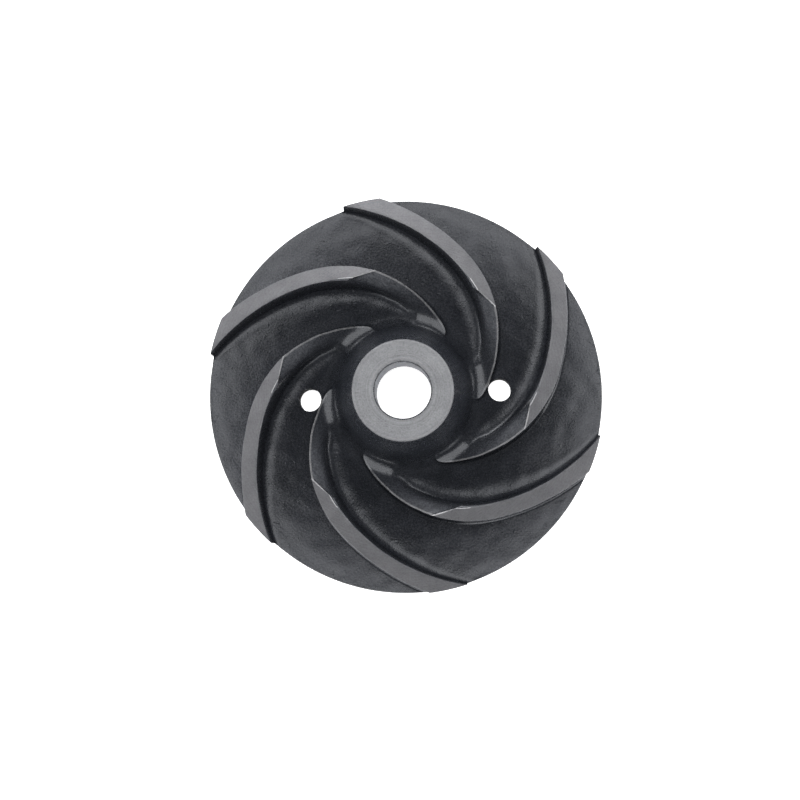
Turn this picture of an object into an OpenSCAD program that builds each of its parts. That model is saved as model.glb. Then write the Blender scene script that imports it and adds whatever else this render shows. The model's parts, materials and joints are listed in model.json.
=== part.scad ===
// Open water pump impeller: a cast disc with curved vanes and a tall hub.
// The real object is one casting. Here it is divided, face to face, into its
// back plate, its hub and its vanes. Lengths are in millimetres.
// Z = 0 is the rear face, +Z points to the vane side, and the bore is on Z.

/* [Back plate] */
// Outer diameter of the disc and of the vane tips
outer_d = 117; // [112:1:124]
// Thickness of the disc at its rim
rim_t = 4; // [3:0.5:6]
// Slope of the disc's front face at its rim, in degrees
rim_angle = 2; // [1:0.5:3]
// Radius of the hollow curve of the disc's front face, rising towards the hub
bell_r = 100; // [96:1:106]
// Depth of the cast relief in the rear face
relief_depth = 1.5; // [1:0.25:2]
// Inner diameter of the relief
relief_inner_d = 43; // [42:1:46]
// Outer diameter of the relief
relief_outer_d = 99; // [80:1:104]
// Draft width of the relief's two edges
relief_draft = 0.6; // [0.3:0.1:1]

/* [Jacking holes] */
// Diameter of each through hole, the tapping size of an M8 thread
jack_hole_d = 6.8; // [5:0.1:8]
// Diameter of the circle that the holes lie on
jack_circle_d = 56; // [54:0.5:60]
// Number of holes
jack_count = 2; // [2:1:2]
// Angle of the first hole from +X, in degrees
jack_angle = 3; // [0:1:8]

/* [Hub] */
// Height of the hub's front face above the rear face
hub_h = 31.5; // [28:0.5:36]
// Diameter of the hub's front face
hub_face_d = 29; // [27:0.5:31]
// Slope of the hub's side from the axis, in degrees
hub_draft = 16.5; // [16:0.5:17]
// Radius of the fillet at the hub's foot
foot_fillet = 8; // [7.5:0.5:9]
// Diameter at which the hub is divided from the back plate
hub_foot_d = 40; // [39:0.5:40]
// Diameter of the shaft bore
bore_d = 16; // [14:0.1:17]
// Diameter of the seal seat in the rear face
seat_d = 31; // [28:0.5:32]
// Depth of the seal seat
seat_depth = 14; // [10:0.5:15]
// Width of the small chamfers on the bore and on the turned face
edge_break = 0.4; // [0.2:0.1:0.8]

/* [Vanes] */
// Number of vanes
vane_count = 6; // [6:1:6]
// Height of the vane above the disc's rim, at the tip
tip_h = 8.4; // [7:0.2:10]
// Slope of the turned vane tops, rising towards the hub, in degrees
top_angle = 22; // [18:1:24]
// Diameter at which the turned vane tops end
eye_d = 73; // [70:1:76]
// Height of the vane noses above the disc's rim
nose_h = 9.7; // [9:0.1:11]
// Diameter that the vane noses reach before the vane rises
nose_d = 49; // [47:1:52]
// Height of the cast vane top halfway up its rise, above the disc's rim
rise_h = 14.4; // [13.5:0.1:15]
// Diameter at that halfway place
rise_d = 61; // [59:0.5:62]

/* [Vane outline, convex side] */
// Distance of the inner arc's centre from the axis
convex_in_dist = 19; // [18.8:0.1:19.2]
// Direction of the inner arc's centre, in degrees
convex_in_angle = 56.5; // [56:0.1:57]
// Radius of the inner arc
convex_in_r = 35.9; // [35.7:0.1:36]
// Distance from the axis at which the outer arc takes over
convex_join = 45.3; // [45:0.1:46]
// Radius of the outer arc
convex_out_r = 65.4; // [64:0.1:66]
// Direction of the nose's blunt end on this side, in degrees
nose_angle = -64.3; // [-66:0.1:-62]

/* [Vane outline, concave side] */
// Distance of the inner arc's centre from the axis
concave_in_dist = 19; // [18.8:0.1:19.2]
// Direction of the inner arc's centre, in degrees
concave_in_angle = 58.3; // [58:0.1:59]
// Radius of the inner arc
concave_in_r = 32; // [31.8:0.1:32.2]
// Distance from the axis at which the outer arc takes over
concave_join = 41.3; // [41:0.1:42]
// Radius of the outer arc
concave_out_r = 56.1; // [55:0.1:57]
// Direction of the nose's blunt end on this side, in degrees
heel_angle = -33; // [-34:0.1:-32]

/* [Hidden] */
$fn = 96;
ARC_STEPS = 12;
BELL_STEPS = 12;
FILLET_STEPS = 6;
outer_r = outer_d / 2;
foot_r = hub_foot_d / 2;
eye_r = eye_d / 2;
bore_r = bore_d / 2;
seat_r = seat_d / 2;
face_r = hub_face_d / 2;
nose_z = rim_t + nose_h;
cast_black = [0.16, 0.17, 0.18];
hub_grey = [0.45, 0.46, 0.48];
vane_grey = [0.30, 0.31, 0.33];

// In profile the disc's face is one large hollow arc, which starts at the rim.
rim_dir = 90 - rim_angle;
bell_centre = [outer_r, rim_t] + bell_r * unit(rim_dir);

// The hub's side is straight. The fillet lies between that line and the large
// arc: its centre is foot_fillet from the one, and as far inside the other.
side_reach = ([face_r, hub_h - edge_break] - bell_centre) * unit(hub_draft) + foot_fillet;
fillet_centre = bell_centre + side_reach * unit(hub_draft)
    - sqrt(pow(bell_r - foot_fillet, 2) - pow(side_reach, 2)) * unit(hub_draft + 90);

// Directions that the profile faces where the large arc meets the fillet, at
// the height of the vane noses, and at the division between back plate and hub.
meet_dir = atan2(bell_centre[1] - fillet_centre[1], bell_centre[0] - fillet_centre[0]);
nose_dir = asin((fillet_centre[1] - nose_z) / foot_fillet);
foot_dir = acos((fillet_centre[0] - foot_r) / foot_fillet);

function unit(a) = [cos(a), sin(a)];

// Points [distance from the axis, height] along a hollow arc, between two
// directions that it faces.
function hollow_arc(centre, radius, from, to, steps) = [
    for (i = [0 : steps]) centre - radius * unit(from + (to - from) * i / steps)
];

// The profile's stretches: beside the vanes, above their noses on the back
// plate, and on the hub.
vane_foot = concat(
    hollow_arc(bell_centre, bell_r, rim_dir, meet_dir, BELL_STEPS),
    hollow_arc(fillet_centre, foot_fillet, meet_dir, nose_dir, FILLET_STEPS)
);
plate_foot = hollow_arc(fillet_centre, foot_fillet, nose_dir, foot_dir, 1);
hub_foot = hollow_arc(fillet_centre, foot_fillet, foot_dir, hub_draft, FILLET_STEPS);

// Height of the turned vane tops at distance r from the axis.
function top_z(r) = rim_t + tip_h + (outer_r - r) * tan(top_angle);

// A point given by its distance from the axis and its direction.
function polar(r, a) = [r * cos(a), r * sin(a)];

// Direction at which an arc crosses the circle of radius r about the axis,
// for an arc whose centre is at [dist, dir] and whose radius is arc_r.
function crossing(r, dist, dir, arc_r) =
    dir - acos((r * r + dist * dist - arc_r * arc_r) / (2 * r * dist));

// Distance from the axis at which such an arc crosses direction a.
function arc_reach(a, dist, dir, arc_r) =
    dist * cos(dir - a) + sqrt(arc_r * arc_r - pow(dist * sin(dir - a), 2));

// One vane edge from distance r0 outwards: an inner arc and an outer arc
// that continues it without a corner, sampled at equal steps of distance.
function edge_points(r0, r1, dist, dir, in_r, join, out_r) =
    let (
        turn = crossing(join, dist, dir, in_r),
        inward = (polar(join, turn) - polar(dist, dir)) / in_r,
        out_c = polar(join, turn) - out_r * inward,
        out_dist = norm(out_c),
        out_dir = atan2(out_c[1], out_c[0])
    )
    [
        for (i = [0 : 2 * ARC_STEPS])
            let (
                r = i < ARC_STEPS
                    ? r0 + (join - r0) * i / ARC_STEPS
                    : join + (r1 - join) * (i - ARC_STEPS) / ARC_STEPS
            )
            polar(r, r < join ? crossing(r, dist, dir, in_r) : crossing(r, out_dist, out_dir, out_r))
    ];

function reversed(list) = [for (i = [len(list) - 1 : -1 : 0]) list[i]];

module turned(profile, colour) {
    color(colour) rotate_extrude() polygon(profile);
}

module jacking_holes() {
    for (i = [0 : jack_count - 1])
        rotate(jack_angle + i * 360 / jack_count)
            translate([jack_circle_d / 2, 0, -1])
                cylinder(h = hub_h, d = jack_hole_d);
}

module back_plate() {
    difference() {
        turned(concat([
            [foot_r, 0],
            [relief_inner_d / 2, 0],
            [relief_inner_d / 2 + relief_draft, relief_depth],
            [relief_outer_d / 2 - relief_draft, relief_depth],
            [relief_outer_d / 2, 0],
            [outer_r, 0]
        ], vane_foot, [plate_foot[1]]), cast_black);
        color(cast_black) jacking_holes();
    }
}

module hub() {
    turned(concat([
        [seat_r + edge_break, 0],
        [foot_r, 0]
    ], hub_foot, [
        [face_r, hub_h - edge_break],
        [face_r - edge_break, hub_h],
        [bore_r + edge_break, hub_h],
        [bore_r, hub_h - edge_break],
        [bore_r, seat_depth + edge_break],
        [bore_r + edge_break, seat_depth],
        [seat_r, seat_depth],
        [seat_r, edge_break]
    ]), hub_grey);
}

// Outline of one vane seen from the front, from inside the hub to past the rim.
module vane_outline() {
    inside = foot_r - 1;
    outside = outer_r + 1;
    convex_start = arc_reach(nose_angle, convex_in_dist, convex_in_angle, convex_in_r);
    concave_start = arc_reach(heel_angle, concave_in_dist, concave_in_angle, concave_in_r);
    convex = edge_points(
        convex_start, outside, convex_in_dist, convex_in_angle, convex_in_r, convex_join, convex_out_r
    );
    concave = edge_points(
        concave_start, outside, concave_in_dist, concave_in_angle, concave_in_r, concave_join, concave_out_r
    );
    polygon(concat(
        [polar(inside, nose_angle)], convex, reversed(concave), [polar(inside, heel_angle)]
    ));
}

// Ring between the disc's front face and the vane tops.
module vane_band() {
    rotate_extrude()
        polygon(concat([
            [outer_r, top_z(outer_r)],
            [eye_r, top_z(eye_r)],
            [rise_d / 2, rim_t + rise_h],
            [nose_d / 2, nose_z]
        ], reversed(vane_foot)));
}

module vane(number) {
    color(vane_grey)
        rotate((number - 1) * 360 / vane_count)
            intersection() {
                linear_extrude(height = hub_h) vane_outline();
                vane_band();
            }
}

back_plate();
hub();
vane(1);  // vane_1
vane(2);  // vane_2
vane(3);  // vane_3
vane(4);  // vane_4
vane(5);  // vane_5
vane(6);  // vane_6
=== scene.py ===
"""Looks of the water pump impeller: a black iron casting with turned faces.

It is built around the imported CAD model, and each piece here replaces one of its nodes.
"""
import json
import math

import bmesh
import bpy
import numpy as np
from mathutils import Matrix, Vector, noise


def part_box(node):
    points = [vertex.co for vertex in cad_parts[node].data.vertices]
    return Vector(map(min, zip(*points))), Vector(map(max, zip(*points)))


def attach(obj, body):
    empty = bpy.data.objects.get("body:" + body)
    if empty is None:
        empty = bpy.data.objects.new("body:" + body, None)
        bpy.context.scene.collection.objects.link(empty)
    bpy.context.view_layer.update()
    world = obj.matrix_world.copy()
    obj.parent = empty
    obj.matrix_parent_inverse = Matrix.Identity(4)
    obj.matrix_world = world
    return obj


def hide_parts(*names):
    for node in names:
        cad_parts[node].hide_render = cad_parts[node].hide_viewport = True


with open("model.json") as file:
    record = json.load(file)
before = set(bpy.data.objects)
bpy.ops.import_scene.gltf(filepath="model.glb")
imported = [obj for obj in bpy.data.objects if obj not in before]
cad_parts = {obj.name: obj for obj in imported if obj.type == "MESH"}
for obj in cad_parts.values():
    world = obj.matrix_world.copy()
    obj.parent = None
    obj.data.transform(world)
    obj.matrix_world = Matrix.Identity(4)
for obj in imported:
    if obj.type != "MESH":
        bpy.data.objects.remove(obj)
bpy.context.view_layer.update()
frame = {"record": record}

# ---------------------------------------------------------------------------
# Dimensions of the CAD model: lengths in millimetres, angles in radians.
# The first ones are read from the frame, and the others repeat its source.
# ---------------------------------------------------------------------------
MM = 0.001
mounts = {mount["name"]: mount["dims"] for mount in frame["record"]["mounts"]}
plate_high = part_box("back_plate")[1] / MM
hub_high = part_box("hub")[1] / MM
OUTER_R = plate_high.x
FOOT_R = hub_high.x
HUB_H = hub_high.z
BORE_R = mounts["shaft_bore"]["r_mm"]
SEAT_R = mounts["seal_seat"]["r_mm"]
JACK_R = mounts["jacking_holes"]["hole_r_mm"]
JACK_CIRCLE_R = mounts["jacking_holes"]["pcd_mm"] / 2
JACK_COUNT = mounts["jacking_holes"]["count"]

# Direction of the first jacking hole from +X
JACK_ANGLE = math.radians(3)

# Disc: rim, hollow front face and rear relief
RIM_T = 4.0
RIM_SLOPE = math.radians(2)
BELL_R = 100.0
RELIEF_DEPTH = 1.5
RELIEF_INNER_R = 21.5
RELIEF_OUTER_R = 49.5
RELIEF_DRAFT = 0.6

# Hub: foot, side, turned face, seal seat and small chamfers
FOOT_FILLET = 8.0
HUB_DRAFT = math.radians(16.5)
FACE_R = 14.5
SEAT_DEPTH = 14.0
EDGE = 0.4

# Vanes: turned tops outside the eye, cast rise inside it, and low noses
VANES = 6
TIP_H = 8.4
TOP_ANGLE = math.radians(22)
EYE_R = 36.5
NOSE_R = 24.5
NOSE_H = 9.7
RISE_R = 30.5
RISE_H = 14.4
HEEL_ANGLE = math.radians(-33)
NOSE_ANGLE = math.radians(-64.3)

# ---------------------------------------------------------------------------
# What the casting adds to the CAD model
# ---------------------------------------------------------------------------
# How far the sand mould moves its surfaces, over what distance, and which pattern it has.
ROUGH = 0.10
MOULD_GRAIN = 4.0
MOULD_SEED = 3

# Back plate and hub: points round a ring, spacing along the front and in the relief, bevel
# on the turned rim, rounding of the relief, and chamfer on the drilled holes.
SEGMENTS = 288
FRONT_STEP = 0.9
RELIEF_STEP = 1.5
RIM_BEVEL = 0.2
RELIEF_ROUND = 0.8
JACK_CHAMFER = 0.35

# Vane sides: fillet at the foot and draft. The concave side's fillet is CONCAVE_STRETCH times
# as wide as it is high. Over the last TIP_REACH, its fillet and draft shrink to the tip's.
CONVEX_FILLET = 1.0
CONVEX_DRAFT = math.radians(2)
CONCAVE_FILLET = 2.8
CONCAVE_DRAFT = math.radians(5)
CONCAVE_STRETCH = 2.0
TIP_FILLET = 0.6
TIP_DRAFT = math.radians(1)
TIP_REACH = 24.0

# Vane ends near the hub: the first row, how softly both sides turn into the blunt nose,
# how softly the top runs into the hub's foot, and over what distance edges fade in or out.
FIRST_ROW = 18.5
NOSE_ROUND = 2.5
HEEL_ROUND = 4.0
NOSE_BLEND = 1.3
FADE = 2.5

# Step from the cast top up to the turned top: its height, then the width and the drop of
# the strip along its edge, which is painted pale as a glint.
STEP = 0.30
STEP_W = 0.32
STEP_LIP = 0.1

# Cast top inside the eye: how much lower it is at the concave side, the roundings of its
# crest in side view, and a low bead along the crest, with the distance over which it rises.
TOP_DROP = 0.35
NOSE_CREST_ROUND = 3.4
RISE_CREST_ROUND = 12.0
BEAD = 0.10
BEAD_RUN = 2.0

# Crest on the convex side: its small bevel, where the bead ends, and where the top begins.
CREST_BEVEL_W = 0.08
CREST_BEVEL_H = 0.10
BEAD_END = 0.36
TOP_START = 0.50

# Corner on the concave side: its size where cast, its size where turned, and how much wider
# and higher it is next to the eye, which fades out at CLEAN_R. It takes up no more than
# CORNER_SHARE of the vane's height, and its curve turns from CORNER_TILT off the level
# through LEAST_TURN or more.
CAST_CORNER = 2.2
TURNED_CORNER = 0.12
EYE_CORNER_W = 0.8
EYE_CORNER_H = 1.0
CLEAN_R = 40.0
CORNER_SHARE = 0.45
CORNER_TILT = math.radians(15)
LEAST_TURN = 0.1

# Burr that the turning tool left along that corner, with a painted glint: width, drop, and where the
# glint ends.
BURR = 0.28
BURR_DROP = 0.07
PAINTED_GLINT_END_R = 38.2

# How deep the vanes reach into the back plate, so that no gap shows, and a length that
# is too small to matter.
SINK = 0.5
TINY = 1e-6


# ---------------------------------------------------------------------------
# Outline helpers
# ---------------------------------------------------------------------------
def round_corners(points, radii, steps=6):
    """A polyline whose corners are arcs. There is one radius per point, and 0 keeps it sharp."""
    out = []
    for i, (p, radius) in enumerate(zip(points, radii)):
        p = np.array(p, float)
        if not radius:
            out.append(p)
            continue
        a = np.array(points[i - 1], float) - p
        b = np.array(points[i + 1], float) - p
        a /= np.hypot(*a)
        b /= np.hypot(*b)
        half = math.acos(float(np.clip(a @ b, -1, 1))) / 2
        reach = radius / math.tan(half)
        bisector = (a + b) / np.hypot(*(a + b))
        centre = p + bisector * radius / math.sin(half)
        start = p + a * reach - centre
        end = p + b * reach - centre
        turn = math.atan2(start[0] * end[1] - start[1] * end[0], start @ end)
        for k in range(steps + 1):
            c = math.cos(turn * k / steps)
            s = math.sin(turn * k / steps)
            out.append(centre + np.array([start[0] * c - start[1] * s, start[0] * s + start[1] * c]))
    return out


def densify(points, step):
    """Adds points so that no stretch of a polyline is longer than step."""
    out = [points[0]]
    for a, b in zip(points, points[1:]):
        a = np.array(a, float)
        b = np.array(b, float)
        count = max(1, math.ceil(np.hypot(*(b - a)) / step))
        out += [tuple(a + (b - a) * k / count) for k in range(1, count + 1)]
    return out


def hollow_arc(centre, radius, start, stop, steps):
    """Points on a hollow arc, between two directions in which its surface faces."""
    angles = np.linspace(start, stop, steps + 1)
    return [tuple(centre - radius * np.array([math.cos(a), math.sin(a)])) for a in angles]


def smooth_max(a, b, width):
    """The larger of a and b, with a soft change where they differ by less than width."""
    blend = np.clip(0.5 + (a - b) / (2 * width), 0, 1)
    return b + (a - b) * blend + width * blend * (1 - blend)


# ---------------------------------------------------------------------------
# Mesh helpers
# ---------------------------------------------------------------------------
def uneven(points, amount):
    """Moves each point by about its amount. A place always moves the same way, in every run."""
    noise.seed_set(MOULD_SEED)
    out = np.empty_like(points)
    for i, p in enumerate(points):
        out[i] = p + amount[i] * np.array(noise.noise_vector(Vector(p) / MOULD_GRAIN))
    return out


def make_object(name, vertices, faces, material_index, angle=35):
    """A mesh object from points in millimetres, smooth but for corners of more than angle degrees."""
    mesh = bpy.data.meshes.new(name)
    mesh.from_pydata([tuple(v * MM) for v in vertices], [], faces)
    for material in MATERIALS:
        mesh.materials.append(material)
    mesh.polygons.foreach_set("material_index", material_index)
    mesh.polygons.foreach_set("use_smooth", [True] * len(faces))
    work = bmesh.new()
    work.from_mesh(mesh)
    bmesh.ops.remove_doubles(work, verts=work.verts, dist=0.004 * MM)
    bmesh.ops.dissolve_degenerate(work, edges=work.edges, dist=0.001 * MM)
    work.to_mesh(mesh)
    work.free()
    mesh.set_sharp_from_angle(angle=math.radians(angle))
    mesh.update()
    obj = bpy.data.objects.new(name, mesh)
    bpy.context.scene.collection.objects.link(obj)
    return obj


def revolve(name, points, finish, rough):
    """A ring turned from a closed profile. finish gives the material of the strip after each point."""
    count = len(points)
    profile = np.array(points)
    theta = np.linspace(0, 2 * math.pi, SEGMENTS, endpoint=False)
    r = profile[:, 0][:, None]
    z = profile[:, 1][:, None]
    vertices = np.stack([r * np.cos(theta), r * np.sin(theta), z + 0 * theta], -1).reshape(-1, 3)
    vertices = uneven(vertices, np.repeat(rough, SEGMENTS))
    faces = []
    index = []
    for i in range(count):
        a = i * SEGMENTS
        b = (i + 1) % count * SEGMENTS
        for j in range(SEGMENTS):
            m = (j + 1) % SEGMENTS
            faces.append((a + j, a + m, b + m, b + j))
            index.append(finish[i])
    return make_object(name, vertices, faces, index)


def lathe(name, profile, finish, segments):
    """A closed solid turned from an open profile whose two ends lie on the axis."""
    theta = np.linspace(0, 2 * math.pi, segments, endpoint=False)
    inner = profile[1:-1]
    vertices = [(0, 0, profile[0][1])]
    for r, z in inner:
        vertices += [(r * math.cos(t), r * math.sin(t), z) for t in theta]
    vertices.append((0, 0, profile[-1][1]))
    last = len(vertices) - 1
    faces = [(0, 1 + (j + 1) % segments, 1 + j) for j in range(segments)]
    for i in range(len(inner) - 1):
        a = 1 + i * segments
        b = 1 + (i + 1) * segments
        for j in range(segments):
            m = (j + 1) % segments
            faces.append((a + j, a + m, b + m, b + j))
    top = 1 + (len(inner) - 1) * segments
    faces += [(last, top + j, top + (j + 1) % segments) for j in range(segments)]
    return make_object(name, np.array(vertices, float), faces, [finish] * len(faces))


def subtract(target, cutter):
    """Cuts cutter out of target for good, and deletes cutter."""
    bpy.context.view_layer.update()
    modifier = target.modifiers.new("cut", "BOOLEAN")
    modifier.operation = "DIFFERENCE"
    modifier.solver = "EXACT"
    modifier.object = cutter
    dg = bpy.context.evaluated_depsgraph_get()
    mesh = bpy.data.meshes.new_from_object(target.evaluated_get(dg))
    target.modifiers.clear()
    old = target.data
    target.data = mesh
    bpy.data.meshes.remove(old)
    bpy.data.objects.remove(cutter)


def drill(target):
    """Cuts the jacking holes out of a piece that they reach."""
    below = 1
    outline = [
        (0, -below),
        (JACK_R + JACK_CHAMFER + below + RELIEF_DEPTH, -below),
        (JACK_R, RELIEF_DEPTH + JACK_CHAMFER),
        (JACK_R, HUB_H),
        (0, HUB_H),
    ]
    for k in range(JACK_COUNT):
        angle = JACK_ANGLE + 2 * math.pi * k / JACK_COUNT
        place = Vector((math.cos(angle), math.sin(angle), 0)) * JACK_CIRCLE_R * MM
        nearest = min((v.co - place).xy.length for v in target.data.vertices)
        if nearest < JACK_R * MM:
            cutter = lathe("cutter", outline, HOLE, segments=64)
            cutter.location = place
            subtract(target, cutter)


# ---------------------------------------------------------------------------
# Node helpers
# ---------------------------------------------------------------------------
def node_material(name):
    """A material with a slightly cool gloss, its node tree, its shader and the place on the object."""
    material = bpy.data.materials.new(name)
    material.use_nodes = True
    tree = material.node_tree
    shader = tree.nodes["Principled BSDF"]
    shader.inputs["Specular Tint"].default_value = (0.93, 0.95, 1.0, 1)
    place = tree.nodes.new("ShaderNodeTexCoord")
    return material, tree, shader, place.outputs["Object"]


def grain(tree, place, size, detail=3.0, rough=0.55):
    """Noise whose features are about size millimetres across."""
    texture = tree.nodes.new("ShaderNodeTexNoise")
    texture.inputs["Scale"].default_value = 1 / (size * MM)
    texture.inputs["Detail"].default_value = detail
    texture.inputs["Roughness"].default_value = rough
    tree.links.new(place, texture.inputs["Vector"])
    return texture.outputs["Fac"]


def ramp(tree, value, stops):
    """A colour ramp through stops, each a position and a colour or a grey."""
    node = tree.nodes.new("ShaderNodeValToRGB")
    band = node.color_ramp
    while len(band.elements) < len(stops):
        band.elements.new(0.5)
    for element, (position, colour) in zip(band.elements, stops):
        element.position = position
        element.color = (*colour, 1) if isinstance(colour, tuple) else (colour, colour, colour, 1)
    tree.links.new(value, node.inputs["Fac"])
    return node.outputs["Color"]


def mix(tree, factor, first, second, mode="MIX"):
    """Two colours mixed by factor. Each of the three is a socket or a plain value."""
    node = tree.nodes.new("ShaderNodeMix")
    node.data_type = "RGBA"
    node.blend_type = mode
    for socket, value in (("Factor", factor), ("A", first), ("B", second)):
        target = [s for s in node.inputs if s.name == socket and s.enabled][0]
        if isinstance(value, bpy.types.NodeSocket):
            tree.links.new(value, target)
        else:
            target.default_value = value
    return [s for s in node.outputs if s.enabled][0]


def bump(tree, height, depth, strength=1.0, under=None):
    """A bump of depth millimetres, on top of another one."""
    node = tree.nodes.new("ShaderNodeBump")
    node.inputs["Distance"].default_value = depth * MM
    node.inputs["Strength"].default_value = strength
    tree.links.new(height, node.inputs["Height"])
    if under is not None:
        tree.links.new(under, node.inputs["Normal"])
    return node.outputs["Normal"]


def radius_of(tree, place):
    """Distance from the shaft's axis."""
    flat = tree.nodes.new("ShaderNodeVectorMath")
    flat.operation = "MULTIPLY"
    flat.inputs[1].default_value = (1, 1, 0)
    tree.links.new(place, flat.inputs[0])
    length = tree.nodes.new("ShaderNodeVectorMath")
    length.operation = "LENGTH"
    tree.links.new(flat.outputs[0], length.inputs[0])
    return length.outputs["Value"]


def height_of(tree, vector):
    """Third component of a place or a direction."""
    node = tree.nodes.new("ShaderNodeSeparateXYZ")
    tree.links.new(vector, node.inputs["Vector"])
    return node.outputs["Z"]


def between(tree, value, start, stop):
    """0 where value is start or less, rising to 1 at stop."""
    node = tree.nodes.new("ShaderNodeMapRange")
    node.inputs["From Min"].default_value = start
    node.inputs["From Max"].default_value = stop
    tree.links.new(value, node.inputs["Value"])
    return node.outputs["Result"]


def product(tree, *values):
    """All the values multiplied."""
    out = values[0]
    for value in values[1:]:
        node = tree.nodes.new("ShaderNodeMath")
        node.operation = "MULTIPLY"
        tree.links.new(out, node.inputs[0])
        tree.links.new(value, node.inputs[1])
        out = node.outputs["Value"]
    return out


def rings(tree, place, pitch, detail):
    """Turning marks: noise along the radius, pitch millimetres apart."""
    texture = tree.nodes.new("ShaderNodeTexNoise")
    texture.noise_dimensions = "1D"
    texture.inputs["Scale"].default_value = 1 / (pitch * MM)
    texture.inputs["Detail"].default_value = detail
    tree.links.new(radius_of(tree, place), texture.inputs["W"])
    return texture.outputs["Fac"]


# ---------------------------------------------------------------------------
# Materials
# ---------------------------------------------------------------------------
def worn_and_painted_light_mask(tree, place):
    """1 on the vanes' cast tops inside the eye, fading to 0 down their sides and towards the hub: where
    they are greyed, partly as wear and partly as painted light on surfaces facing up.
    """
    facing = tree.nodes.new("ShaderNodeNewGeometry").outputs["Normal"]
    lowest = 12.0
    return product(
        tree,
        between(tree, height_of(tree, place), lowest * MM, (lowest + 2) * MM),
        between(tree, radius_of(tree, place), (NOSE_R - 1) * MM, (RISE_R + 2) * MM),
        between(tree, height_of(tree, facing), 0.35, 0.85),
    )


def cast_iron(name, dark, light, worn_and_painted_light, rubbed=False):
    """Black coated sand casting: sandy grain, a few pits, faint blotches, and greyer cast tops, partly
    wear and partly painted light where they face up. A rubbed one is bare in places, but not near the
    hub."""
    material, tree, shader, place = node_material(name)
    blotch = ramp(tree, grain(tree, place, 8.0, 4), [(0.3, dark), (0.7, light)])
    speck = ramp(tree, grain(tree, place, 0.6, 2), [(0.33, 0.7), (0.7, 1.35)])
    worn_and_painted_light_pale = tuple(1.5 * v for v in worn_and_painted_light)
    worn_and_painted_light_colour = ramp(tree, grain(tree, place, 1.2), [(0.35, worn_and_painted_light), (0.7, worn_and_painted_light_pale)])
    # greyer upward-facing cast tops: partly wear, partly painted light on the surfaces that face up
    colour = mix(tree, worn_and_painted_light_mask(tree, place), blotch, worn_and_painted_light_colour)
    colour = mix(tree, 0.8, colour, speck, "MULTIPLY")
    if rubbed:
        bare = ramp(tree, grain(tree, place, 1.4), [(0.3, 0.45), (0.65, 1.0)])
        outwards = between(tree, radius_of(tree, place), (NOSE_R - 3) * MM, (NOSE_R + 2) * MM)
        colour = mix(tree, product(tree, bare, outwards), colour, (0.17, 0.17, 0.175, 1))
    tree.links.new(colour, shader.inputs["Base Color"])
    polish = ramp(tree, grain(tree, place, 0.55), [(0.3, 0.20), (0.7, 0.34)])
    tree.links.new(polish, shader.inputs["Roughness"])
    sand = bump(tree, grain(tree, place, 0.55), 0.05)
    pits = ramp(tree, grain(tree, place, 1.6, 2), [(0.28, 0.0), (0.36, 1.0)])
    tree.links.new(bump(tree, pits, 0.05, 0.6, sand), shader.inputs["Normal"])
    return material


def turned_iron(name, dark, light, pitch):
    """Bare turned iron: dull grey, with faint rings and the casting's pores."""
    material, tree, shader, place = node_material(name)
    cloud = ramp(tree, grain(tree, place, 5.0, 4), [(0.3, dark), (0.72, light)])
    ring = ramp(tree, rings(tree, place, pitch, 3), [(0.3, 0.84), (0.7, 1.14)])
    pore = ramp(tree, grain(tree, place, 0.5, rough=0.7), [(0.30, 0.70), (0.50, 1.0), (0.70, 1.16)])
    colour = mix(tree, 0.8, mix(tree, 0.7, cloud, ring, "MULTIPLY"), pore, "MULTIPLY")
    tree.links.new(colour, shader.inputs["Base Color"])
    shader.inputs["Metallic"].default_value = 0.9
    polish = ramp(tree, grain(tree, place, 0.8), [(0.3, 0.42), (0.7, 0.58)])
    tree.links.new(polish, shader.inputs["Roughness"])
    groove = bump(tree, rings(tree, place, pitch, 2), 0.02)
    pit = ramp(tree, grain(tree, place, 0.5, 2), [(0.30, 0.0), (0.42, 1.0)])
    tree.links.new(bump(tree, pit, 0.03, 0.7, groove), shader.inputs["Normal"])
    return material


def drilled_iron(name, dark, light):
    """Rough wall of a drilled hole: dull, dark, with a few bare flecks."""
    material, tree, shader, place = node_material(name)
    colour = ramp(tree, grain(tree, place, 1.1), [(0.52, dark), (0.68, light)])
    tree.links.new(colour, shader.inputs["Base Color"])
    shader.inputs["Roughness"].default_value = 0.9
    shader.inputs["Specular IOR Level"].default_value = 0.1
    tree.links.new(bump(tree, grain(tree, place, 0.7), 0.12), shader.inputs["Normal"])
    return material


CAST, TURNED, PAINTED_GLINT, CREST, FACE, HOLE = range(6)
BLACK = (0.010, 0.0112, 0.0140), (0.017, 0.0185, 0.0225)
# grey of the cast tops inside the eye: partly wear, partly painted light
WORN_AND_PAINTED_LIGHT = (0.042, 0.044, 0.049)
MATERIALS = [
    cast_iron("cast_black", *BLACK, WORN_AND_PAINTED_LIGHT),
    turned_iron("turned_vane_top", (0.125, 0.126, 0.133), (0.157, 0.157, 0.165), pitch=0.25),
    # much paler turned iron: a painted glint on the burr and the step, not a colour of the iron
    turned_iron("painted_glint_edge", (0.34, 0.34, 0.35), (0.46, 0.46, 0.47), pitch=0.2),
    cast_iron("rubbed_crest", *BLACK, WORN_AND_PAINTED_LIGHT, rubbed=True),
    turned_iron("turned_hub_face", (0.125, 0.127, 0.133), (0.155, 0.157, 0.163), pitch=0.6),
    drilled_iron("drilled_hole", (0.028, 0.030, 0.034), (0.20, 0.20, 0.21)),
]


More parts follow.
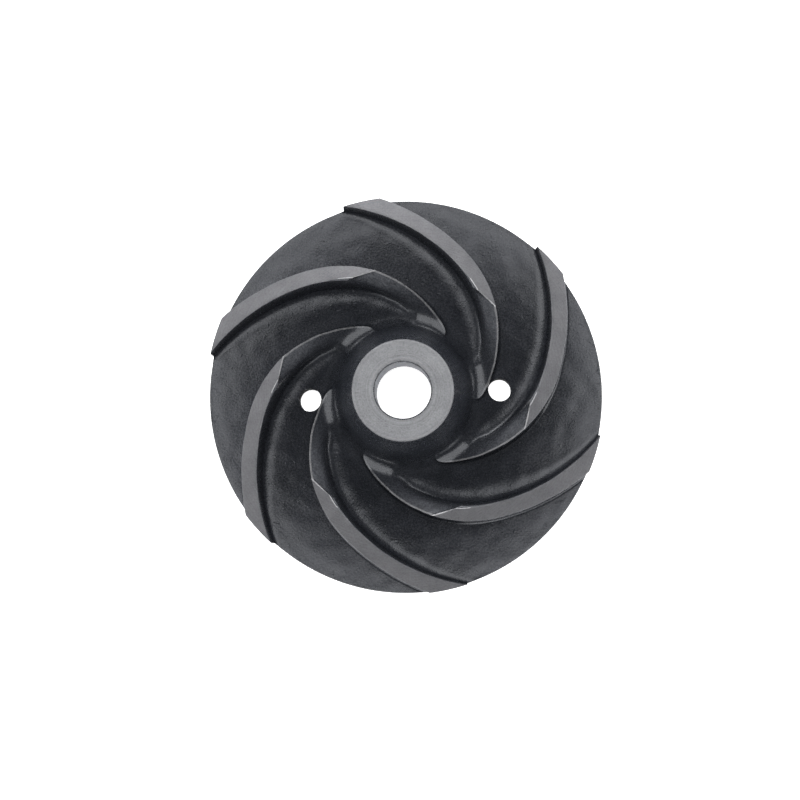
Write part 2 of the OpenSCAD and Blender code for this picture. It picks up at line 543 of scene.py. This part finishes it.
# ---------------------------------------------------------------------------
# Back plate and hub
# ---------------------------------------------------------------------------
def bell_outline():
    """From the rim inwards: the disc's hollow face, the hub's fillet, then its straight side."""
    facing_up = math.pi / 2 - RIM_SLOPE
    bell = np.array([OUTER_R, RIM_T]) + BELL_R * np.array([math.cos(facing_up), math.sin(facing_up)])
    outwards = np.array([math.cos(HUB_DRAFT), math.sin(HUB_DRAFT)])
    upwards = np.array([-math.sin(HUB_DRAFT), math.cos(HUB_DRAFT)])
    top = np.array([FACE_R, HUB_H - EDGE])
    reach = float((top - bell) @ outwards) + FOOT_FILLET
    drop = math.sqrt((BELL_R - FOOT_FILLET) ** 2 - reach**2)
    fillet = bell + reach * outwards - drop * upwards
    meet = math.atan2(bell[1] - fillet[1], bell[0] - fillet[0])
    face = hollow_arc(bell, BELL_R, facing_up, meet, 40)
    foot = hollow_arc(fillet, FOOT_FILLET, meet, HUB_DRAFT, 12)
    return [*face, *foot[1:], tuple(top)]


RIM_TO_HUB = bell_outline()
HUB_TO_RIM = np.array(RIM_TO_HUB)[::-1]


def base_z(r):
    """Height of the disc's face, which curves up into the hub's side."""
    return np.interp(r, HUB_TO_RIM[:, 0], HUB_TO_RIM[:, 1])


def base_points(r0, r1):
    """Points along the disc's face from r0 inwards to r1."""
    margin = 0.05
    inside = [tuple(p) for p in RIM_TO_HUB if r1 + margin < p[0] < r0 - margin]
    return densify([(r0, float(base_z(r0))), *inside, (r1, float(base_z(r1)))], FRONT_STEP)


def closed_profile(parts):
    """Joins (points, finish, roughness) stretches into one closed outline."""
    points = []
    finish = []
    rough = []
    for stretch, material, amount in parts:
        points += stretch
        finish += [material] * len(stretch)
        rough += [amount] * len(stretch)
    return points, finish, np.array(rough)


def make_back_plate():
    """The disc with its hollow face, rear relief, turned rim and drilled holes."""
    front = base_points(OUTER_R - RIM_BEVEL, FOOT_R)
    relief_corners = [
        (RELIEF_INNER_R, 0),
        (RELIEF_INNER_R + RELIEF_DRAFT, RELIEF_DEPTH),
        (RELIEF_OUTER_R - RELIEF_DRAFT, RELIEF_DEPTH),
        (RELIEF_OUTER_R, 0),
    ]
    relief = round_corners(relief_corners, [0, RELIEF_ROUND, RELIEF_ROUND, 0])
    relief = densify(relief, RELIEF_STEP)
    profile = closed_profile(
        [
            (relief[:1], CAST, 0),
            (relief[1:-1], CAST, ROUGH),
            (relief[-1:], TURNED, 0),
            ([(OUTER_R - RIM_BEVEL, 0)], TURNED, 0),
            ([(OUTER_R, RIM_BEVEL)], TURNED, 0),
            ([(OUTER_R, RIM_T - RIM_BEVEL)], CAST, 0),
            (front[:1], CAST, 0),
            (front[1:], CAST, ROUGH),
            ([(FOOT_R, 0)], TURNED, 0),
        ]
    )
    plate = revolve("back_plate_casting", *profile)
    drill(plate)
    plate.data.set_sharp_from_angle(angle=math.radians(30))
    return plate


def make_hub():
    """The hub with its turned face, bore and seal seat, each with a small chamfer."""
    side = base_points(FOOT_R, FACE_R)
    steps = 6
    wall = FACE_R - BORE_R - 2 * EDGE
    face = [(FACE_R - EDGE - k * wall / steps, HUB_H) for k in range(steps)]
    profile = closed_profile(
        [
            ([(FOOT_R, 0)], CAST, 0),
            (side[:-1], CAST, ROUGH),
            (side[-1:], FACE, 0),
            (face, FACE, 0),
            ([(BORE_R + EDGE, HUB_H)], CAST, 0),
            ([(BORE_R, HUB_H - EDGE)], FACE, 0),
            ([(BORE_R, SEAT_DEPTH + EDGE)], FACE, 0),
            ([(BORE_R + EDGE, SEAT_DEPTH)], TURNED, 0),
            ([(SEAT_R, SEAT_DEPTH)], TURNED, 0),
            ([(SEAT_R, EDGE)], TURNED, 0),
            ([(SEAT_R + EDGE, 0)], TURNED, 0),
        ]
    )
    return revolve("hub_casting", *profile)


# ---------------------------------------------------------------------------
# Vane outline and crest
# ---------------------------------------------------------------------------
class Side:
    """One side of a vane in plan: an inner arc, and an outer arc that continues it without a corner."""

    def __init__(self, dist, angle, inner, join, outer, away):
        direction = math.radians(angle)
        self.centre = np.array([dist * math.cos(direction), dist * math.sin(direction)])
        self.inner = inner
        self.outer = outer
        self.away = away
        theta = self._cross(np.array(join), self.centre, inner)
        self.joint = np.array([join * np.cos(theta), join * np.sin(theta)])
        self.normal = (self.joint - self.centre) / inner
        self.outer_centre = self.joint - outer * self.normal

    @staticmethod
    def _cross(r, centre, radius):
        """Direction at which an arc crosses the circle of radius r."""
        d = np.hypot(*centre)
        cos = (r * r + d * d - radius * radius) / (2 * r * d)
        return math.atan2(centre[1], centre[0]) - np.arccos(np.clip(cos, -1, 1))

    def theta(self, r, n):
        """Direction at which the side, moved n away from the vane, crosses the circle of radius r."""
        n = n * self.away
        join = np.hypot(self.joint[0] + n * self.normal[0], self.joint[1] + n * self.normal[1])
        return np.where(
            r < join,
            self._cross(r, self.centre, self.inner + n),
            self._cross(r, self.outer_centre, self.outer + n),
        )


CONVEX = Side(dist=19.0, angle=56.5, inner=35.9, join=45.3, outer=65.4, away=1)
CONCAVE = Side(dist=19.0, angle=58.3, inner=32.0, join=41.3, outer=56.1, away=-1)


def convex_theta(r, n):
    """The convex side moved n outwards. Near the hub it turns into the nose's blunt end."""
    arc = CONVEX.theta(r, n)
    blunt = NOSE_ANGLE - np.arcsin(np.clip(n / r, -1, 1))
    return smooth_max(arc * r, blunt * r, NOSE_ROUND) / r


def concave_theta(r, n):
    """The concave side moved n outwards. Near the hub it turns into the heel."""
    arc = CONCAVE.theta(r, n)
    heel = HEEL_ANGLE + np.arcsin(np.clip(n / r, -1, 1))
    return smooth_max(arc * r, heel * r, HEEL_ROUND) / r


def cone_z(r):
    """Height of the turned vane tops."""
    return RIM_T + TIP_H + (OUTER_R - r) * math.tan(TOP_ANGLE)


def crest_outline():
    """Height of the cast vane tops against the radius: nose, rise, and up to the step at the eye."""
    corners = [
        (FIRST_ROW - 2, RIM_T + NOSE_H),
        (NOSE_R, RIM_T + NOSE_H),
        (RISE_R, RIM_T + RISE_H),
        (EYE_R - STEP_W, float(cone_z(EYE_R)) - STEP),
    ]
    return np.array(round_corners(corners, [0, NOSE_CREST_ROUND, RISE_CREST_ROUND, 0], 10))


CREST_LINE = crest_outline()


def crest_z(r):
    """Height of a vane's crest: cast inside the eye, turned outside it, blended into the hub's foot."""
    crest = np.where(r < EYE_R - TINY, np.interp(r, CREST_LINE[:, 0], CREST_LINE[:, 1]), cone_z(r))
    return smooth_max(crest, base_z(r), NOSE_BLEND)


# ---------------------------------------------------------------------------
# Vanes. Each is a skin of rows, which lie at one radius each, and columns, which run
# along the vane: up its convex side, over its top and down its concave side. A column
# is (directions, heights, finish), where the first two have one value per row, and the
# finish is a pair of materials: where the top is turned, and inside the eye.
# ---------------------------------------------------------------------------
def row_radii():
    """Radii of the rows, from nose to tip. They lie closest at the nose and next to the eye."""
    least_h = 0.03
    start = next(r for r in np.arange(FIRST_ROW, NOSE_R, 0.02) if crest_z(r) > base_z(r) + least_h)
    return np.concatenate(
        [
            np.arange(start, NOSE_R, 0.3),
            np.arange(NOSE_R, EYE_R - 1.2, 0.55),
            [EYE_R - 1.1, EYE_R - 0.8, EYE_R - STEP_W - 0.22, EYE_R - STEP_W],
            [EYE_R, EYE_R + 0.3, EYE_R + 0.7],
            np.linspace(EYE_R + 1.2, OUTER_R, 34),
        ]
    )


class Rows:
    """The rows of a vane, and what changes from row to row."""

    def __init__(self):
        r = row_radii()
        self.r = r
        self.turned = r >= EYE_R - TINY
        self.at_step = np.isclose(r, EYE_R - STEP_W)
        self.floor = base_z(r)
        self.top = np.where(self.at_step, cone_z(EYE_R) - STEP_LIP, crest_z(r))
        self.h = self.top - self.floor
        # opening grows from 0 at the nose's end to 1, and eased from 0 at the eye to 1 inside it.
        self.opening = np.clip((r - r[0]) / FADE, 0, 1)
        self.eased = np.clip((EYE_R - r) / FADE, 0, 1)
        self.drop = TOP_DROP * self.eased * self.opening
        self.bead = BEAD * np.clip((r - NOSE_R) / BEAD_RUN, 0, 1) * self.eased
        spread = np.clip((CLEAN_R - r) / (CLEAN_R - EYE_R), 0, 1)
        self.corner_w = self._corner(TURNED_CORNER + spread * EYE_CORNER_W)
        corner_h = self._corner(TURNED_CORNER + spread * EYE_CORNER_H)
        self.corner_h = np.minimum(corner_h, CORNER_SHARE * self.h)

    def _corner(self, turned_size):
        """Size of the concave corner, given its size where the top is turned."""
        return np.where(self.turned, turned_size, CAST_CORNER) * self.opening


def fillet_turn(h, fillet, draft):
    """Angle through which the fillet turns under a side of height h, also where h is less than
    a whole fillet."""
    full = fillet * (1 - np.sin(draft))
    return np.where(h > full, math.pi / 2 - draft, np.arccos(np.clip(1 - h / fillet, -1, 1)))


def flank(h, fillet, draft, stretch, wall_steps, fillet_steps):
    """Offsets and heights down one side of a vane, from h above the floor to the floor."""
    angle = fillet_turn(h, fillet, draft)
    wall = np.maximum(h - fillet * (1 - np.sin(draft)), 0)
    toe = wall * np.tan(draft) + stretch * fillet * np.sin(angle)
    out = []
    for k in range(1, wall_steps + 1):
        part = wall * k / wall_steps
        out.append((part * np.tan(draft), h - part))
    for k in range(1, fillet_steps + 1):
        a = angle * (1 - k / fillet_steps)
        out.append((toe - stretch * fillet * np.sin(a), fillet * (1 - np.cos(a))))
    return out


def convex_columns(rows):
    """From the floor up the convex side to the crest, with its small bevel and bead."""
    bevel_h = CREST_BEVEL_H * rows.opening
    h = rows.h - bevel_h
    crest = rows.top + rows.bead
    side = flank(h, CONVEX_FILLET, CONVEX_DRAFT, stretch=1.0, wall_steps=5, fillet_steps=6)
    out = [(convex_theta(rows.r, n), rows.floor + w, (CAST, CAST)) for n, w in reversed(side)]
    out.append((convex_theta(rows.r, 0), rows.floor + h, (TURNED, CREST)))
    out.append((convex_theta(rows.r, -CREST_BEVEL_W * rows.opening), crest, (TURNED, CREST)))
    out.append((convex_theta(rows.r, -BEAD_END * rows.opening), crest, (TURNED, CREST)))
    return out


def top_columns(rows):
    """Across the top, from the crest to the burr at the concave side."""
    start = convex_theta(rows.r, -TOP_START * rows.opening)
    stop = concave_theta(rows.r, -rows.corner_w - BURR * rows.opening)
    steps = 7
    out = []
    for k in range(steps + 1):
        part = k / steps
        # the last strip, on the burr, carries the painted glint
        finish = (TURNED, CAST) if k < steps else (PAINTED_GLINT, CAST)
        out.append((start + (stop - start) * part, rows.top - rows.drop * part, finish))
    return out


def concave_columns(rows):
    """Round the corner of the concave side, and down that side to the floor."""
    inside = np.clip((OUTER_R - rows.r) / TIP_REACH, 0, 1)
    fillet = TIP_FILLET + (CONCAVE_FILLET - TIP_FILLET) * inside
    draft = TIP_DRAFT + (CONCAVE_DRAFT - TIP_DRAFT) * inside
    edge_z = rows.top - rows.drop - BURR_DROP * rows.opening
    h = edge_z - rows.corner_h - rows.floor
    # The corner ends at the slope with which the side below it starts.
    tilt = CORNER_TILT
    steep = np.arctan(np.tan(fillet_turn(h, fillet, draft)) / CONCAVE_STRETCH)
    steep = np.maximum(steep, tilt + LEAST_TURN)
    steps = 7
    out = []
    for k in range(steps + 1):
        a = tilt + (steep - tilt) * k / steps
        across = (np.sin(a) - np.sin(tilt)) / (np.sin(steep) - np.sin(tilt))
        down = (np.cos(tilt) - np.cos(a)) / (np.cos(tilt) - np.cos(steep))
        angles = concave_theta(rows.r, -rows.corner_w * (1 - across))
        out.append((angles, edge_z - rows.corner_h * down, (CAST, CAST)))
    for n, w in flank(h, fillet, draft, CONCAVE_STRETCH, wall_steps=5, fillet_steps=12):
        out.append((concave_theta(rows.r, n), rows.floor + w, (CAST, CAST)))
    return out


def cast_and_turn(rows, theta, height, finish):
    """The skin's points. All are uneven as cast, then the turned top goes back to its cone, and
    the rows at the step, the eye and the rim go back to their radius."""
    r = rows.r[:, None] + 0 * theta
    grid = np.stack([r * np.cos(theta), r * np.sin(theta), height], -1)
    flat = grid.reshape(-1, 3)
    moved = uneven(flat, np.full(len(flat), ROUGH)).reshape(grid.shape)
    radius = np.hypot(moved[..., 0], moved[..., 1])
    machined = np.array([outside in (TURNED, PAINTED_GLINT) for outside, _ in finish])
    on_cone = rows.turned[:, None] & machined
    moved[..., 2] = np.where(on_cone, cone_z(radius) + (height - cone_z(r)), moved[..., 2])
    for ring in (np.isclose(rows.r, EYE_R), rows.at_step, np.isclose(rows.r, OUTER_R)):
        for axis in (0, 1):
            moved[..., axis] = np.where(ring[:, None], moved[..., axis] * r / radius, moved[..., axis])
    return moved


def skin_material(rows, i, finish):
    """Material of the skin between row i and the next one. The step up to the turned top gets the
    painted glint.
    """
    outside, inside = finish
    if rows.turned[i + 1] and not rows.turned[i] and outside in (TURNED, PAINTED_GLINT):
        return PAINTED_GLINT
    if not rows.turned[i]:
        return inside
    # beyond this radius the burr strip has no painted glint
    if outside == PAINTED_GLINT and rows.r[i] > PAINTED_GLINT_END_R:
        return TURNED
    return outside


def close_skin(rows, skin, finish):
    """Vertices, faces and material numbers of a closed vane: the skin, and below it a sunk floor,
    a strip along each side and an end wall at the nose and at the tip."""
    count, columns = skin.shape[:2]
    sunk = skin.copy()
    sunk[..., 2] = base_z(rows.r)[:, None] - SINK
    vertices = [*skin.reshape(-1, 3), *sunk[:, 0], *sunk[:, -1]]
    left = [count * columns + i for i in range(count)]
    right = [count * (columns + 1) + i for i in range(count)]
    faces = []
    index = []

    def quad(a, b, c, d, material):
        faces.append((a, b, c, d))
        index.append(material)

    def at(i, j):
        return i * columns + j

    for i in range(count - 1):
        for j in range(columns - 1):
            material = skin_material(rows, i, finish[j])
            quad(at(i, j), at(i + 1, j), at(i + 1, j + 1), at(i, j + 1), material)
    for i in range(count - 1):
        quad(at(i + 1, 0), at(i, 0), left[i], left[i + 1], CAST)
        quad(at(i, columns - 1), at(i + 1, columns - 1), right[i + 1], right[i], CAST)
        quad(left[i + 1], left[i], right[i], right[i + 1], CAST)
    for i, flip, material in ((0, False, CAST), (count - 1, True, TURNED)):
        base = len(vertices)
        vertices += [*sunk[i, 1:-1]]
        chain = [left[i], *range(base, base + columns - 2), right[i]]
        for j in range(columns - 1):
            corners = (at(i, j), at(i, j + 1), chain[j + 1], chain[j])
            quad(*(corners[::-1] if flip else corners), material)
        faces.append(tuple(chain[::-1] if flip else chain))
        index.append(CAST)
    return np.array(vertices), faces, index


def make_vane(number):
    """One vane, turned to its place round the hub."""
    rows = Rows()
    columns = [*convex_columns(rows), *top_columns(rows), *concave_columns(rows)]
    theta = np.array([angles for angles, _, _ in columns]).T + (number - 1) * 2 * math.pi / VANES
    height = np.array([heights for _, heights, _ in columns]).T
    finish = [pair for _, _, pair in columns]
    skin = cast_and_turn(rows, theta, height, finish)
    vane = make_object(f"vane_{number}_casting", *close_skin(rows, skin, finish), angle=28)
    drill(vane)
    return vane


pieces = [
    (make_back_plate(), "back_plate", "cast_black"),
    (make_hub(), "hub", "turned_iron"),
]
for number in range(1, VANES + 1):
    pieces.append((make_vane(number), f"vane_{number}", "cast_black"))
for piece, node, slot in pieces:
    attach(piece, "root")
    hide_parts(node)


# ---------------------------------------------------------------------------
# Floor, background, lights and camera, in metres but for the camera's place
# ---------------------------------------------------------------------------
STAGE_R = 5.0
STAGE_SIDES = 64


def pale_material():
    """White that glows a little, so that the floor stays pale all over."""
    material = bpy.data.materials.new("pale_floor")
    material.use_nodes = True
    shader = material.node_tree.nodes["Principled BSDF"]
    shader.inputs["Base Color"].default_value = (0.9, 0.9, 0.9, 1)
    shader.inputs["Roughness"].default_value = 0.9
    shader.inputs["Emission Color"].default_value = (1, 1, 1, 1)
    shader.inputs["Emission Strength"].default_value = 0.95
    return material


def stage_object(name, work, material):
    """An object from a bmesh that isn't part of the impeller."""
    mesh = bpy.data.meshes.new(name)
    work.to_mesh(mesh)
    work.free()
    mesh.materials.append(material)
    obj = bpy.data.objects.new(name, mesh)
    bpy.context.scene.collection.objects.link(obj)
    return obj


def make_stage():
    """A round pale floor, and a dome of the same colour that is only a background: it gives no light."""
    material = pale_material()
    work = bmesh.new()
    bmesh.ops.create_circle(work, cap_ends=True, radius=STAGE_R, segments=STAGE_SIDES)
    stage_object("floor", work, material)
    work = bmesh.new()
    bmesh.ops.create_uvsphere(
        work, u_segments=STAGE_SIDES, v_segments=STAGE_SIDES // 2, radius=STAGE_R
    )
    bmesh.ops.reverse_faces(work, faces=work.faces)
    dome = stage_object("dome", work, material)
    dome.visible_diffuse = False
    dome.visible_glossy = False
    dome.visible_transmission = False
    dome.visible_shadow = False


def make_lamp(name, azimuth, elevation, distance, size, power):
    """A soft square lamp aimed at the object and unseen by the camera. Its direction is in degrees."""
    data = bpy.data.lights.new(name, "AREA")
    data.size = size
    data.energy = power
    lamp = bpy.data.objects.new(name, data)
    a = math.radians(azimuth)
    e = math.radians(elevation)
    place = Vector((math.cos(a) * math.cos(e), math.sin(a) * math.cos(e), math.sin(e))) * distance
    lamp.location = place
    lamp.rotation_mode = "QUATERNION"
    lamp.rotation_quaternion = (-place).to_track_quat("-Z", "Y")
    lamp.visible_camera = False
    bpy.context.scene.collection.objects.link(lamp)


def make_lamps():
    """Two lamps overhead, one from the top of the picture, and two rings of low lamps."""
    upper = 105
    make_lamp("overhead", azimuth=110, elevation=84, distance=1.0, size=0.65, power=4.1)
    make_lamp("overhead_core", azimuth=110, elevation=84, distance=1.0, size=0.33, power=4.6)
    make_lamp("upper", azimuth=upper, elevation=25, distance=0.9, size=0.40, power=1.4)
    sweeps = 12
    for k in range(sweeps):
        azimuth = 15 + 360 // sweeps * k
        power = 2.0 * (1 + 0.2 * math.cos(math.radians(azimuth - upper)))
        make_lamp(f"sweep_{k + 1}", azimuth, elevation=12, distance=0.9, size=0.36, power=power)
    sides = 6
    for k in range(sides):
        azimuth = 33 + 360 // sides * k
        make_lamp(f"side_{k + 1}", azimuth, elevation=25, distance=0.9, size=0.60, power=0.5)


def make_camera():
    """Above the front face, a little towards -Y and +X, with +Y up in the picture."""
    data = bpy.data.cameras.new("camera")
    data.sensor_width = 36
    data.lens = 80.5
    data.clip_start = 0.01
    data.clip_end = 20
    camera = bpy.data.objects.new("camera", data)
    place = Vector((14.0, -31.6, RIM_T + 532.0)) * MM
    target = Vector((-1.58, -1.2, RIM_T)) * MM
    back = (place - target).normalized()
    right = Vector((0, 1, 0)).cross(back).normalized()
    up = back.cross(right)
    camera.matrix_world = Matrix.Translation(place) @ Matrix((right, up, back)).transposed().to_4x4()
    bpy.context.scene.collection.objects.link(camera)
    bpy.context.scene.camera = camera


def make_world():
    """Faint cool light from all round."""
    world = bpy.data.worlds.new("studio")
    world.use_nodes = True
    background = world.node_tree.nodes["Background"]
    background.inputs["Color"].default_value = (0.93, 0.95, 1.0, 1)
    background.inputs["Strength"].default_value = 0.02
    bpy.context.scene.world = world


make_stage()
make_world()
make_lamps()
make_camera()
bpy.context.scene.view_settings.view_transform = "Standard"
